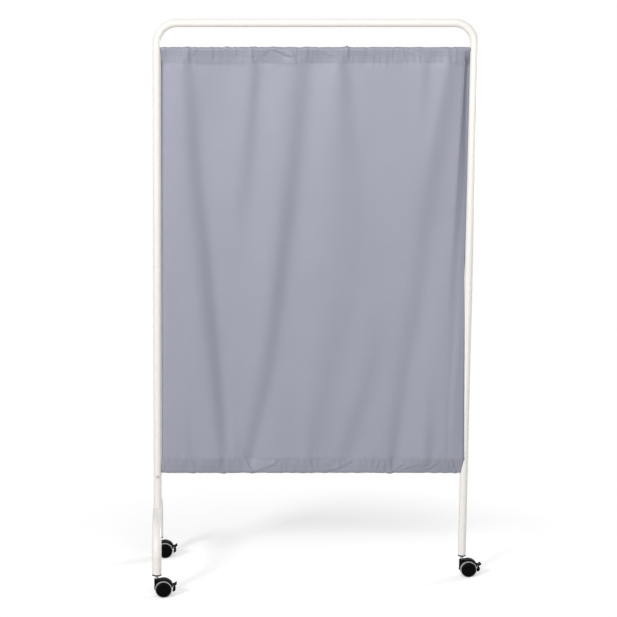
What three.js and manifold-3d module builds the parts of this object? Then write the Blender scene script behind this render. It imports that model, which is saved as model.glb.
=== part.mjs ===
// A single-panel privacy screen on castors. A one-piece tube hoop stands on an
// arched foot with two castors at its left and on one castor at its right, and
// a curtain hangs in it between two rods.
// Millimetres. +Z is up, X runs across the screen and the front faces -Y.

import * as THREE from 'three';
import { mergeVertices } from 'three/addons/utils/BufferGeometryUtils.js';
import Module from 'manifold-3d';

const wasm = await Module();
wasm.setup();

// The whole screen
const screenHeight = 1700;
const screenWidth = 962;

// The hoop tube
const hoopRadius = 12;
const hoopWall = 1.5;
const hoopBendRadius = 60;

// The arched foot
const footRadius = 14;
const footWall = 2;
const footDepth = 400;
const footRise = 150;
const footLegStraight = 14.3;
const spigotWall = 2.5;
const spigotTopGap = 4.5;
const footScrewDrop = 10;
const footScrewRadius = 2.5;
const footScrewHeadRadius = 4.4;
const footScrewHeadRise = 2.4;
const footScrewCrownShare = 0.7;
const footScrewLength = 9;

// The curtain and its rods
const hoopToCurtain = 82;
const curtainBottom = 327;
const topCasing = 49;
const bottomCasing = 45;
const clothThickness = 1.2;
const clothEdgeGap = 1.2;
const clothRodGap = 0.4;
const flapGap = 0.6;
const foldDepth = 13;
const rodRadius = 6;
const rodWall = 1;
const insertLength = 24;
const rodScrewRadius = 2.5;
const rodScrewHeadRadius = 4.6;
const rodScrewGrip = 16;
const rodScrewHeadDepth = 2.1;

// The castors
const wheelRadius = 25;
const castorWidth = 40;
const rimGap = 12;
const trail = 20;
const treadDepth = 5;
const hubFaceInset = 2.5;
const treadWidth = 10;
const treadEdge = 0.8;
const hubWeb = 3;
const hubRim = 2.6;
const hubDome = 2.8;
const hubDomeShares = [[1, 1], [0.82, 0.4], [0.45, 0.1], [0, 0]];
const hubBossRadius = 7;
const axleRadius = 3;
const axleEndGap = 3;
const axleChamfer = 0.6;
const stemRadius = 4;
const stemShown = 11;
const stemCollarRadius = 5.5;
const stemCollarHeight = 5;
const stemInPlug = 26;
const stemSocketDepth = 26;
const barrelRadius = 8;
const barrelDrop = 4;
const hoodOverWheel = 5.5;
const hoodOverBarrel = 1.5;
const hoodWidth = 22;
const hoodChamfer = 1.4;
const hoodEnd = THREE.MathUtils.degToRad(33);
const webThickness = 5;
const webBossRadius = 11;
const wheelClearance = 0.6;
const plugFlange = 3.7;
const plugLength = 32;
const plugRib = 0.5;
const plugNose = 3;

// The brake levers, placed from the wheel axle
const leverPivotGap = 3.4;
const leverPivotRise = 9.4;
const leverBossRadius = 4;
const leverWidth = 22;
const leverPinRadius = 1.5;
const leverTipRun = 11.1;
const leverTipLift = 6.6;
const pedalTipRadius = 1.6;
const pedalRootRadius = 2.4;
const clawBack = 0.6;
const clawDrop = 8.8;
const clawRadius = 8;
const clawBar = 4.4;
const clawClearance = 2.6;
const lugInset = 0.4;

// Clearances and facets
const fitGap = 0.3;
const cutOverrun = 4;
const roundSides = 16;
const wheelSides = 24;
const pinSides = 12;
const bendSteps = 6;
const hoodSteps = 12;
const rodWrapSteps = 4;
const dropRows = 3;

// Places worked out from the sizes above
const uprightX = screenWidth / 2 - hoopRadius;
const hoopTopAxis = screenHeight - hoopRadius;
const rimSeatRadius = wheelRadius - treadDepth;
const hubFaceRadius = wheelRadius - hubFaceInset;
const hoodRadius = wheelRadius + hoodOverWheel;
const barrelTop = wheelRadius + hoodRadius - hoodOverBarrel;
const barrelFoot = wheelRadius - barrelDrop;
const legEndHeight = barrelTop + stemShown + plugFlange + fitGap;
const footTopAxis = legEndHeight + footRise - footRadius;
const stemY = footDepth / 2;
const curtainTop = screenHeight - hoopToCurtain;
const rodGapRadius = rodRadius + clothRodGap + clothThickness / 2;
const wrapRadius = rodGapRadius / Math.cos(Math.PI / (2 * rodWrapSteps));
const topRodHeight = curtainTop - clothThickness / 2 - wrapRadius;
const bottomRodHeight = curtainBottom + clothThickness / 2 + wrapRadius;
const topSeamHeight = curtainTop - topCasing;
const bottomSeamHeight = curtainBottom + bottomCasing;
const wheelSpaceRadius = wheelRadius * flatScale(wheelSides) + wheelClearance;
const plugTop = legEndHeight - fitGap + plugLength;
const flangeBottom = legEndHeight - fitGap - plugFlange;
const footBendRadius = footTopAxis - plugTop - footLegStraight;
const spigotTopHeight = bottomRodHeight - rodScrewRadius - spigotTopGap;
const footScrewHeight = spigotTopHeight - footScrewDrop;

// Places on a brake lever, from the wheel axle
const leverPivotReach = wheelRadius + leverPivotGap;
const leverTipReach = leverPivotReach + leverTipRun;
const leverTipRise = leverPivotRise + leverTipLift;
const clawReach = leverPivotReach - clawBack;
const clawRise = leverPivotRise - clawDrop;
const lugRadius = leverBossRadius - lugInset;
const leverPivotAngle = Math.atan2(leverPivotRise, leverPivotReach);

// The left end is the foot tube and the right end is the tip of a brake lever,
// so the screen is centred by half of what the one sticks out past the other.
const leftEnd = uprightX + footRadius;
const rightEnd = uprightX + trail + leverTipReach;
const centreShift = (leftEnd - rightEnd) / 2;

// Finishes
const creamPaint = { color: 0xefebe1, roughness: 0.35, metalness: 0.0 };
const greyCloth = { color: 0xa0a4b4, roughness: 0.9, metalness: 0.0 };
const blackPlastic = { color: 0x141416, roughness: 0.5, metalness: 0.0 };
const greyTread = { color: 0x8f8f92, roughness: 0.8, metalness: 0.0 };
const brightSteel = { color: 0xc8cacc, roughness: 0.3, metalness: 1.0 };
const darkSteel = { color: 0x4a4a4c, roughness: 0.4, metalness: 1.0 };

function meshOf(name, geometry, finish) {
  const mesh = new THREE.Mesh(geometry, new THREE.MeshStandardMaterial(finish));
  mesh.name = name;
  return mesh;
}

// Round sections are polygons whose flats lie on the true radius.
function flatScale(sides) {
  return 1 / Math.cos(Math.PI / sides);
}

function circlePoints(radius, sides) {
  const reach = radius * flatScale(sides);
  const points = [];
  for (let i = 0; i < sides; i += 1) {
    const angle = ((i + 0.5) * 2 * Math.PI) / sides;
    points.push(new THREE.Vector2(reach * Math.cos(angle), reach * Math.sin(angle)));
  }
  return points;
}

function ringShape(outerRadius, innerRadius, sides) {
  const shape = new THREE.Shape(circlePoints(outerRadius, sides));
  shape.holes.push(new THREE.Path(circlePoints(innerRadius, sides)));
  return shape;
}

// A path with a ring of the section at each of its knots, and nowhere else.
class KnotPath extends THREE.Curve {
  constructor(points, tangents) {
    super();
    this.points = points;
    this.tangents = tangents;
  }

  getUtoTmapping(u) {
    return u;
  }

  between(list, t, target) {
    const last = list.length - 1;
    const place = t * last;
    const knot = Math.min(Math.floor(place), last - 1);
    return target.lerpVectors(list[knot], list[knot + 1], place - knot);
  }

  getPoint(t, target = new THREE.Vector3()) {
    return this.between(this.points, t, target);
  }

  getTangent(t, target = new THREE.Vector3()) {
    return this.between(this.tangents, t, target).normalize();
  }
}

// A path through right-angled corners, each rounded to the bend radius.
function bentPath(corners, bendRadius) {
  const points = [corners[0]];
  const tangents = [corners[1].clone().sub(corners[0]).normalize()];
  for (let i = 1; i < corners.length - 1; i += 1) {
    const into = corners[i].clone().sub(corners[i - 1]).normalize();
    const out = corners[i + 1].clone().sub(corners[i]).normalize();
    const centre = corners[i].clone()
      .addScaledVector(into, -bendRadius)
      .addScaledVector(out, bendRadius);
    for (let step = 0; step <= bendSteps; step += 1) {
      const angle = (step / bendSteps) * (Math.PI / 2);
      points.push(centre.clone()
        .addScaledVector(out, -bendRadius * Math.cos(angle))
        .addScaledVector(into, bendRadius * Math.sin(angle)));
      tangents.push(into.clone().multiplyScalar(Math.cos(angle))
        .addScaledVector(out, Math.sin(angle)));
    }
  }
  const end = corners.length - 1;
  points.push(corners[end]);
  tangents.push(corners[end].clone().sub(corners[end - 1]).normalize());
  return new KnotPath(points, tangents);
}

function bentTube(corners, bendRadius, radius, wall) {
  const path = bentPath(corners, bendRadius);
  const section = ringShape(radius, radius - wall, roundSides);
  return new THREE.ExtrudeGeometry(section, {
    extrudePath: path,
    steps: path.points.length - 1,
  });
}

// Solids for the cuts and joins
function solidOf(geometry) {
  const bare = geometry.clone();
  bare.deleteAttribute('normal');
  bare.deleteAttribute('uv');
  const merged = mergeVertices(bare);
  const corners = [];
  for (let i = 0; i < merged.index.count; i += 3) {
    const [a, b, c] = [0, 1, 2].map((k) => merged.index.getX(i + k));
    if (a !== b && b !== c && c !== a) corners.push(a, b, c);
  }
  return new wasm.Manifold(new wasm.Mesh({
    numProp: 3,
    vertProperties: new Float32Array(merged.attributes.position.array),
    triVerts: new Uint32Array(corners),
  }));
}

function geometryOf(solid) {
  const mesh = solid.getMesh();
  const shared = new THREE.BufferGeometry();
  shared.setAttribute('position', new THREE.BufferAttribute(mesh.vertProperties, mesh.numProp));
  shared.setIndex(new THREE.BufferAttribute(mesh.triVerts, 1));
  const geometry = shared.toNonIndexed();
  geometry.computeVertexNormals();
  return geometry;
}

// Turns a profile of [radius, height] pairs, listed anticlockwise, about Z.
function turned(profile, sides) {
  const points = profile.map(([radius, height]) => (
    new THREE.Vector2(radius * flatScale(sides), height)
  ));
  if (profile[0][0] > 0) points.push(points[0].clone());
  const geometry = new THREE.LatheGeometry(points, sides, Math.PI / sides);
  return geometry.rotateX(Math.PI / 2);
}

function turnedSolid(profile, sides) {
  return solidOf(turned(profile, sides));
}

// A plain rod along Z, and the same laid along Y.
function rodZ(radius, bottom, top, sides) {
  const profile = [[0, bottom], [radius, bottom], [radius, top], [0, top]];
  return turned(profile, sides);
}

function rodY(radius, front, back, x, z, sides) {
  return rodZ(radius, front, back, sides).rotateX(-Math.PI / 2).translate(x, 0, z);
}

// A side outline in X and Z, given a thickness along Y about the middle plane.
function slab(shape, thickness, chamfer = 0) {
  const geometry = new THREE.ExtrudeGeometry(shape, {
    depth: thickness - 2 * chamfer,
    bevelEnabled: chamfer > 0,
    bevelThickness: chamfer,
    bevelSize: chamfer,
    bevelOffset: -chamfer,
    bevelSegments: 1,
    curveSegments: hoodSteps,
  });
  return geometry.rotateX(Math.PI / 2).translate(0, thickness / 2 - chamfer, 0);
}

function rectangle(left, right, bottom, top) {
  const shape = new THREE.Shape();
  shape.moveTo(left, bottom);
  shape.lineTo(right, bottom);
  shape.lineTo(right, top);
  shape.lineTo(left, top);
  shape.closePath();
  return shape;
}

// The hoop: both uprights and the top in one bent tube
function hoopFrame() {
  const corners = [
    new THREE.Vector3(-uprightX, 0, footTopAxis),
    new THREE.Vector3(-uprightX, 0, hoopTopAxis),
    new THREE.Vector3(uprightX, 0, hoopTopAxis),
    new THREE.Vector3(uprightX, 0, legEndHeight),
  ];
  let hoop = solidOf(bentTube(corners, hoopBendRadius, hoopRadius, hoopWall));
  hoop = hoop.subtract(saddle(footRadius + fitGap));
  for (const height of [topRodHeight, bottomRodHeight]) {
    hoop = hoop.subtract(rodScrewHole(height));
    hoop = hoop.subtract(rodScrewHole(height).mirror([1, 0, 0]));
  }
  return geometryOf(hoop.subtract(footScrewHole()));
}

// The round saddle that the left upright is cut to, along the top of the foot.
function saddle(radius) {
  const reach = hoopRadius + cutOverrun;
  return solidOf(rodY(radius, -reach, reach, -uprightX, footTopAxis, roundSides));
}

// The hole for a rod's screw, through both walls of the right upright, with
// a countersink in the outer wall.
function rodScrewHole(height) {
  const outside = uprightX + hoopRadius;
  const shank = rodScrewRadius + fitGap;
  const head = rodScrewHeadRadius + fitGap;
  const slope = (rodScrewHeadRadius - rodScrewRadius) / rodScrewHeadDepth;
  const widest = head + slope * cutOverrun;
  const profile = [
    [0, uprightX - hoopRadius - cutOverrun],
    [shank, uprightX - hoopRadius - cutOverrun],
    [shank, outside - rodScrewHeadDepth],
    [widest, outside + cutOverrun],
    [0, outside + cutOverrun],
  ];
  return solidOf(turned(profile, pinSides).rotateY(Math.PI / 2).translate(0, 0, height));
}

function footScrewHole() {
  const radius = footScrewRadius + fitGap;
  const front = -hoopRadius - cutOverrun;
  return solidOf(rodY(radius, front, 0, -uprightX, footScrewHeight, pinSides));
}

// The foot: an arched tube with the spigot welded on its top
function footArch() {
  const corners = [
    new THREE.Vector3(-uprightX, -stemY, legEndHeight),
    new THREE.Vector3(-uprightX, -stemY, footTopAxis),
    new THREE.Vector3(-uprightX, stemY, footTopAxis),
    new THREE.Vector3(-uprightX, stemY, legEndHeight),
  ];
  const arch = solidOf(bentTube(corners, footBendRadius, footRadius, footWall));
  const outer = hoopRadius - hoopWall - fitGap;
  const inner = outer - spigotWall;
  const profile = [
    [inner, footTopAxis],
    [outer, footTopAxis],
    [outer, spigotTopHeight],
    [inner, spigotTopHeight],
  ];
  const tube = turned(profile, roundSides).translate(-uprightX, 0, 0);
  const spigot = solidOf(tube).subtract(saddle(footRadius - footWall / 2));
  return geometryOf(arch.add(spigot).subtract(footScrewHole()));
}

// The screw that holds the foot in the left upright, head to the front
function footScrew() {
  const seat = hoopRadius + fitGap;
  const profile = [
    [0, seat - footScrewLength],
    [footScrewRadius, seat - footScrewLength],
    [footScrewRadius, seat],
    [footScrewHeadRadius, seat],
    [footScrewHeadRadius, seat + footScrewHeadRise / 2],
    [footScrewHeadRadius * footScrewCrownShare, seat + footScrewHeadRise],
    [0, seat + footScrewHeadRise],
  ];
  return turned(profile, pinSides).rotateX(Math.PI / 2);
}

// The curtain rods, their threaded inserts and the screws through the uprights
function rodLength() {
  return 2 * (uprightX - hoopRadius - fitGap);
}

function curtainRod() {
  const half = rodLength() / 2;
  const profile = [
    [rodRadius - rodWall, -half],
    [rodRadius, -half],
    [rodRadius, half],
    [rodRadius - rodWall, half],
  ];
  return turned(profile, roundSides).rotateY(Math.PI / 2);
}

function rodInsert() {
  const end = rodLength() / 2;
  const outer = rodRadius - rodWall - fitGap;
  const inner = rodScrewRadius + fitGap;
  const profile = [
    [inner, end - insertLength],
    [outer, end - insertLength],
    [outer, end],
    [inner, end],
  ];
  return turned(profile, pinSides).rotateY(Math.PI / 2);
}

function rodScrew() {
  const outside = uprightX + hoopRadius;
  const tip = uprightX - hoopRadius - rodScrewGrip;
  const profile = [
    [0, tip],
    [rodScrewRadius, tip],
    [rodScrewRadius, outside - rodScrewHeadDepth],
    [rodScrewHeadRadius, outside],
    [0, outside],
  ];
  return turned(profile, pinSides).rotateY(Math.PI / 2);
}

// The curtain: one cloth strip, hooked round the top rod, hanging in its folds
// and hooked round the bottom rod, with each end sewn to the panel at a seam.
// Each fold is a valley that slants down the cloth. Its place across the panel
// and its depth are shares of the panel's width and of the fold depth, at the
// top seam, half way down and at the bottom seam.
const folds = [
  { placeShares: [0, 0, 0], depthShares: [0, 0, 0] },
  { placeShares: [0.09, 0.138, 0.205], depthShares: [0.45, 0.8, 0.5] },
  { placeShares: [0.32, 0.265, 0.25], depthShares: [0.4, 0.25, 0.1] },
  { placeShares: [0.48, 0.4, 0.305], depthShares: [0.5, 0.8, 0.5] },
  { placeShares: [0.6, 0.63, 0.51], depthShares: [0.45, 0.45, 0.3] },
  { placeShares: [0.73, 0.72, 0.615], depthShares: [0.1, 0.25, 0.3] },
  { placeShares: [0.88, 0.84, 0.765], depthShares: [0.3, 0.4, 0.4] },
  { placeShares: [0.985, 0.963, 0.955], depthShares: [0.5, 1, 0.5] },
  { placeShares: [1, 1, 1], depthShares: [0, 0, 0] },
];

// The columns between one valley and the next: the valley, its flank, the flat
// between the two and the next one's flank.
const columnSteps = [
  { betweenShare: 0, nearShare: 1, farShare: 0 },
  { betweenShare: 0.15, nearShare: 0.35, farShare: 0 },
  { betweenShare: 0.5, nearShare: 0, farShare: 0 },
  { betweenShare: 0.85, nearShare: 0, farShare: 0.35 },
];

function shareAtFall([top, middle, bottom], fallShare) {
  if (fallShare < 0.5) return THREE.MathUtils.lerp(top, middle, fallShare * 2);
  return THREE.MathUtils.lerp(middle, bottom, fallShare * 2 - 1);
}

function clothColumns() {
  const columns = [];
  for (let i = 0; i < folds.length - 1; i += 1) {
    for (const step of columnSteps) {
      columns.push({ near: folds[i], far: folds[i + 1], ...step });
    }
  }
  const edge = folds[folds.length - 1];
  columns.push({ near: edge, far: edge, ...columnSteps[0] });
  return columns;
}

function fallShareAt(height) {
  const fall = (topSeamHeight - height) / (topSeamHeight - bottomSeamHeight);
  return THREE.MathUtils.clamp(fall, 0, 1);
}

function columnX(column, height) {
  const fallShare = fallShareAt(height);
  const near = shareAtFall(column.near.placeShares, fallShare);
  const far = shareAtFall(column.far.placeShares, fallShare);
  const half = uprightX - hoopRadius - clothEdgeGap;
  return half * (2 * THREE.MathUtils.lerp(near, far, column.betweenShare) - 1);
}

// How far a column is folded back. The folds run out between seam and rod.
function columnBack(column, height) {
  const fallShare = fallShareAt(height);
  const near = column.nearShare * shareAtFall(column.near.depthShares, fallShare);
  const far = column.farShare * shareAtFall(column.far.depthShares, fallShare);
  const fromTopRod = (topRodHeight - height) / (topRodHeight - topSeamHeight);
  const fromBottomRod = (height - bottomRodHeight) / (bottomSeamHeight - bottomRodHeight);
  const runOutShare = THREE.MathUtils.clamp(Math.min(fromTopRod, fromBottomRod), 0, 1);
  return foldDepth * (near + far) * runOutShare;
}

// The strip's middle line in Y and Z, from the back flap's top seam round to
// the back flap's bottom seam.
function stripLine() {
  const flapY = clothThickness + flapGap;
  const line = [[flapY, topSeamHeight]];
  for (let step = 0; step <= rodWrapSteps; step += 1) {
    const angle = (step / rodWrapSteps) * Math.PI;
    line.push([wrapRadius * Math.cos(angle), topRodHeight + wrapRadius * Math.sin(angle)]);
  }
  for (let row = 0; row <= dropRows + 1; row += 1) {
    const share = row / (dropRows + 1);
    line.push([0, THREE.MathUtils.lerp(topSeamHeight, bottomSeamHeight, share)]);
  }
  for (let step = 0; step <= rodWrapSteps; step += 1) {
    const angle = Math.PI * (1 + step / rodWrapSteps);
    const [y, rise] = [wrapRadius * Math.cos(angle), wrapRadius * Math.sin(angle)];
    line.push([y, bottomRodHeight + rise]);
  }
  line.push([flapY, bottomSeamHeight]);
  return line;
}

// The two faces of the strip lie half a cloth's thickness to each side of its
// middle line, square to it.
function stripFaces(line) {
  const faces = { outer: [], inner: [] };
  line.forEach(([y, z], i) => {
    const before = line[Math.max(i - 1, 0)];
    const after = line[Math.min(i + 1, line.length - 1)];
    const along = new THREE.Vector2(after[0] - before[0], after[1] - before[1]).normalize();
    const offset = clothThickness / 2;
    faces.outer.push([y + along.y * offset, z - along.x * offset]);
    faces.inner.push([y - along.y * offset, z + along.x * offset]);
  });
  return faces;
}

function curtain() {
  const line = stripLine();
  const faces = stripFaces(line);
  const ring = [...faces.outer, ...faces.inner.reverse()];
  const rowHeights = [...line, ...[...line].reverse()].map(([, z]) => z);
  const columns = clothColumns();
  const places = [];
  for (const column of columns) {
    ring.forEach(([y, z], i) => {
      const height = rowHeights[i];
      places.push(columnX(column, height), y + columnBack(column, height), z);
    });
  }
  const count = ring.length;
  const corners = [];
  const quad = (a, b, c, d) => corners.push(a, c, b, a, d, c);
  for (let column = 0; column < columns.length - 1; column += 1) {
    for (let i = 0; i < count; i += 1) {
      const next = (i + 1) % count;
      const near = column * count;
      const far = near + count;
      quad(near + i, far + i, far + next, near + next);
    }
  }
  const lastColumn = (columns.length - 1) * count;
  for (let i = 0; i < line.length - 1; i += 1) {
    const [a, b] = [i, i + 1];
    const [c, d] = [count - 2 - i, count - 1 - i];
    quad(a, b, c, d);
    quad(lastColumn + d, lastColumn + c, lastColumn + b, lastColumn + a);
  }
  const geometry = new THREE.BufferGeometry();
  geometry.setAttribute('position', new THREE.Float32BufferAttribute(places, 3));
  geometry.setIndex(corners);
  geometry.computeVertexNormals();
  return geometry;
}

// The plug in a leg's end, which carries the castor's stem
function legPlug(tubeRadius, tubeWall) {
  const bore = stemRadius + fitGap;
  const body = tubeRadius - tubeWall - fitGap - plugRib;
  const rib = tubeRadius - tubeWall - fitGap;
  const seat = legEndHeight - fitGap;
  const ribHeight = (plugLength - plugNose) / 2;
  const profile = [
    [bore, flangeBottom],
    [tubeRadius - plugRib, flangeBottom],
    [tubeRadius, flangeBottom + plugRib],
    [tubeRadius, seat],
    [rib, seat],
    [body, seat + ribHeight],
    [rib, seat + ribHeight],
    [rib, plugTop - plugNose],
    [body - plugNose / 2, plugTop],
    [bore, plugTop],
  ];
  return turned(profile, roundSides);
}

function castorStem() {
  const collarTop = flangeBottom - fitGap;
  const profile = [
    [0, barrelTop - stemSocketDepth + fitGap],
    [stemRadius, barrelTop - stemSocketDepth + fitGap],
    [stemRadius, collarTop - stemCollarHeight],
    [stemCollarRadius, collarTop - stemCollarHeight],
    [stemCollarRadius, collarTop],
    [stemRadius, collarTop],
    [stemRadius, flangeBottom + stemInPlug],
    [0, flangeBottom + stemInPlug],
  ];
  return turned(profile, pinSides);
}

// The castor housing: a hood over the wheels that grows out of the stem's
// barrel, and a web between the wheels with the axle and the lever's lug
function hoodOutline() {
  const shape = new THREE.Shape();
  const topRise = barrelTop - wheelRadius;
  const start = Math.acos(-Math.sqrt(1 - (topRise / hoodRadius) ** 2));
  shape.moveTo(-barrelRadius, barrelFoot);
  shape.lineTo(trail, barrelFoot);
  shape.lineTo(trail, wheelRadius);
  shape.lineTo(
    trail + webBossRadius * Math.cos(hoodEnd),
    wheelRadius + webBossRadius * Math.sin(hoodEnd),
  );
  shape.lineTo(
    trail + hoodRadius * Math.cos(hoodEnd),
    wheelRadius + hoodRadius * Math.sin(hoodEnd),
  );
  shape.absarc(trail, wheelRadius, hoodRadius, hoodEnd, start, false);
  shape.lineTo(-barrelRadius + hoodChamfer, barrelTop);
  shape.lineTo(-barrelRadius, barrelTop - hoodChamfer);
  shape.closePath();
  return shape;
}

// The hood from above: round at the barrel, widening to its full width.
function hoodPlan() {
  const half = hoodWidth / 2;
  const reach = trail + hoodRadius + cutOverrun;
  const shape = new THREE.Shape();
  shape.moveTo(0, -barrelRadius);
  shape.quadraticCurveTo(trail / 2, -half, trail, -half);
  shape.lineTo(reach, -half);
  shape.lineTo(reach, half);
  shape.lineTo(trail, half);
  shape.quadraticCurveTo(trail / 2, half, 0, barrelRadius);
  shape.absarc(0, 0, barrelRadius, Math.PI / 2, (3 * Math.PI) / 2, false);
  return shape;
}

function disc(radius, thickness, x, z, sides) {
  return solidOf(rodY(radius, -thickness / 2, thickness / 2, x, z, sides));
}

function castorHousing() {
  const plan = new THREE.ExtrudeGeometry(hoodPlan(), {
    depth: barrelTop + hoodRadius,
    bevelEnabled: false,
    curveSegments: hoodSteps / 2,
  });
  const pivotX = trail + leverPivotReach;
  const pivotZ = wheelRadius + leverPivotRise;
  let housing = solidOf(slab(hoodOutline(), hoodWidth, hoodChamfer)).intersect(solidOf(plan));

  // Between the wheels only the web and the barrel's own width are left.
  const innerGap = rimGap - 2 * wheelClearance;
  const space = disc(wheelSpaceRadius, castorWidth, trail, wheelRadius, wheelSides);
  const barrel = solidOf(rodZ(barrelRadius, barrelFoot, barrelTop, roundSides));
  const webShape = rectangle(-barrelRadius, rightEnd, 0, screenHeight);
  const web = solidOf(slab(webShape, webThickness));
  const middle = barrel.intersect(solidOf(slab(webShape, innerGap))).add(web);
  housing = housing.subtract(space.subtract(middle));

  // The boss round the axle, and the lug that carries the lever's pin.
  housing = housing.add(disc(webBossRadius, webThickness, trail, wheelRadius, roundSides));
  housing = housing.add(disc(lugRadius, webThickness, pivotX, pivotZ, pinSides));
  const arm = rectangle(0, Math.hypot(leverPivotReach, leverPivotRise), -lugRadius, lugRadius);
  const armSlab = slab(arm, webThickness).rotateY(-leverPivotAngle);
  housing = housing.add(solidOf(armSlab.translate(trail, 0, wheelRadius)));

  const socket = rodZ(stemRadius + fitGap, barrelTop - stemSocketDepth, barrelTop + cutOverrun,
    pinSides);
  housing = housing.subtract(solidOf(socket));
  housing = housing.subtract(disc(axleRadius + fitGap, hoodWidth, trail, wheelRadius, pinSides));
  housing = housing.subtract(disc(leverPinRadius + fitGap, hoodWidth, pivotX, pivotZ, pinSides));
  return geometryOf(housing);
}

function axle() {
  const half = castorWidth / 2 - axleEndGap - fitGap;
  const profile = [
    [0, -half],
    [axleRadius - axleChamfer, -half],
    [axleRadius, -half + axleChamfer],
    [axleRadius, half - axleChamfer],
    [axleRadius - axleChamfer, half],
    [0, half],
  ];
  return turned(profile, pinSides).rotateX(Math.PI / 2);
}

// A wheel's hub, heights counted outwards from the castor's middle plane: a
// boss on the axle, a web, a rim for the tread and a domed face, whose profile
// is given in shares of its radius and of its drop
function wheelHub() {
  const bore = axleRadius + fitGap;
  const face = castorWidth / 2;
  const inner = rimGap / 2;
  const bossEnd = webThickness / 2 + fitGap;
  const seatEnd = inner + treadWidth + fitGap;
  const rimInner = rimSeatRadius - hubRim;
  const webFace = seatEnd - hubWeb;
  const profile = [
    [bore, bossEnd],
    [hubBossRadius, bossEnd],
    [hubBossRadius, webFace],
    [rimInner, webFace],
    [rimInner, inner],
    [rimSeatRadius, inner],
    [rimSeatRadius, seatEnd],
    [hubFaceRadius, seatEnd],
    ...hubDomeShares.map(([radiusShare, dropShare]) => (
      [hubFaceRadius * radiusShare, face - hubDome * dropShare]
    )),
  ];
  const bored = turnedSolid([[0, bossEnd], ...profile.slice(1)], wheelSides);
  const hole = rodZ(bore, 0, face - axleEndGap, wheelSides);
  return geometryOf(bored.subtract(solidOf(hole)));
}

function wheelTread() {
  const inner = rimGap / 2;
  const outer = inner + treadWidth;
  const seat = rimSeatRadius + fitGap;
  const profile = [
    [seat, inner],
    [wheelRadius - treadEdge, inner],
    [wheelRadius, inner + treadEdge],
    [wheelRadius, outer - treadEdge],
    [wheelRadius - treadEdge, outer],
    [seat, outer],
  ];
  return turned(profile, wheelSides);
}

// The brake lever: two arms on the pin, a pedal above and a claw below that
// swings in on to both treads
function pedalOutline() {
  const shape = new THREE.Shape();
  const run = leverTipReach - pedalTipRadius - leverPivotReach;
  const rise = leverTipRise - leverPivotRise;
  const lean = Math.atan2(rise, run);
  const tipX = leverTipReach - pedalTipRadius;
  const quarter = Math.PI / 2;
  shape.absarc(leverPivotReach, leverPivotRise, pedalRootRadius, lean + quarter, lean - quarter);
  shape.absarc(tipX, leverTipRise, pedalTipRadius, lean - quarter, lean + quarter);
  shape.closePath();
  return shape;
}

function brakeLever() {
  const claw = ringShape(clawRadius, clawRadius - clawBar, roundSides);
  const clawSolid = solidOf(slab(claw, leverWidth).translate(clawReach, 0, clawRise));
  const reach = wheelRadius + clawClearance;
  const clear = disc(reach, castorWidth, 0, 0, 2 * wheelSides);
  const boss = disc(leverBossRadius, leverWidth, leverPivotReach, leverPivotRise, roundSides);
  const pedal = solidOf(slab(pedalOutline(), leverWidth));
  let lever = clawSolid.subtract(clear).add(boss).add(pedal);

  // The slot that the housing's lug stands in, open towards the wheels.
  const slotRadius = leverBossRadius + fitGap;
  const slotWidth = webThickness + 2 * fitGap;
  lever = lever.subtract(
    disc(slotRadius, slotWidth, leverPivotReach, leverPivotRise, roundSides),
  );
  const mouth = rectangle(-leverPivotReach, 0, -slotRadius, slotRadius);
  const mouthSlab = slab(mouth, slotWidth).rotateY(-leverPivotAngle);
  lever = lever.subtract(solidOf(mouthSlab.translate(leverPivotReach, 0, leverPivotRise)));
  const bore = leverPinRadius + fitGap;
  lever = lever.subtract(disc(bore, castorWidth, leverPivotReach, leverPivotRise, pinSides));
  return geometryOf(lever);
}

function brakePin() {
  const half = leverWidth / 2;
  return rodZ(leverPinRadius, -half, half, pinSides).rotateX(Math.PI / 2);
}

function castor(name, x, y, tubeRadius, tubeWall) {
  const group = new THREE.Group();
  const axlePlace = new THREE.Group();
  group.position.set(x, y, 0);
  axlePlace.position.set(trail, 0, wheelRadius);
  const pin = meshOf(`brake_pin_${name}`, brakePin(), brightSteel);
  pin.position.set(leverPivotReach, 0, leverPivotRise);
  axlePlace.add(pin);
  axlePlace.add(meshOf(`axle_${name}`, axle(), brightSteel));
  axlePlace.add(meshOf(`brake_lever_${name}`, brakeLever(), blackPlastic));
  for (const [side, turn] of [['front', Math.PI / 2], ['back', -Math.PI / 2]]) {
    const hub = meshOf(`wheel_hub_${name}_${side}`, wheelHub(), blackPlastic);
    const tread = meshOf(`wheel_tread_${name}_${side}`, wheelTread(), greyTread);
    hub.rotation.x = turn;
    tread.rotation.x = turn;
    axlePlace.add(hub, tread);
  }
  group.add(axlePlace);
  group.add(meshOf(`castor_housing_${name}`, castorHousing(), blackPlastic));
  group.add(meshOf(`castor_stem_${name}`, castorStem(), brightSteel));
  group.add(meshOf(`leg_plug_${name}`, legPlug(tubeRadius, tubeWall), blackPlastic));
  return group;
}

function rodParts(level, height) {
  const group = new THREE.Group();
  group.position.z = height;
  group.add(meshOf(`curtain_rod_${level}`, curtainRod(), creamPaint));
  for (const [side, turn] of [['left', Math.PI], ['right', 0]]) {
    const insert = meshOf(`rod_insert_${level}_${side}`, rodInsert(), brightSteel);
    const screw = meshOf(`rod_screw_${level}_${side}`, rodScrew(), brightSteel);
    insert.rotation.z = turn;
    screw.rotation.z = turn;
    group.add(insert, screw);
  }
  return group;
}

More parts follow.
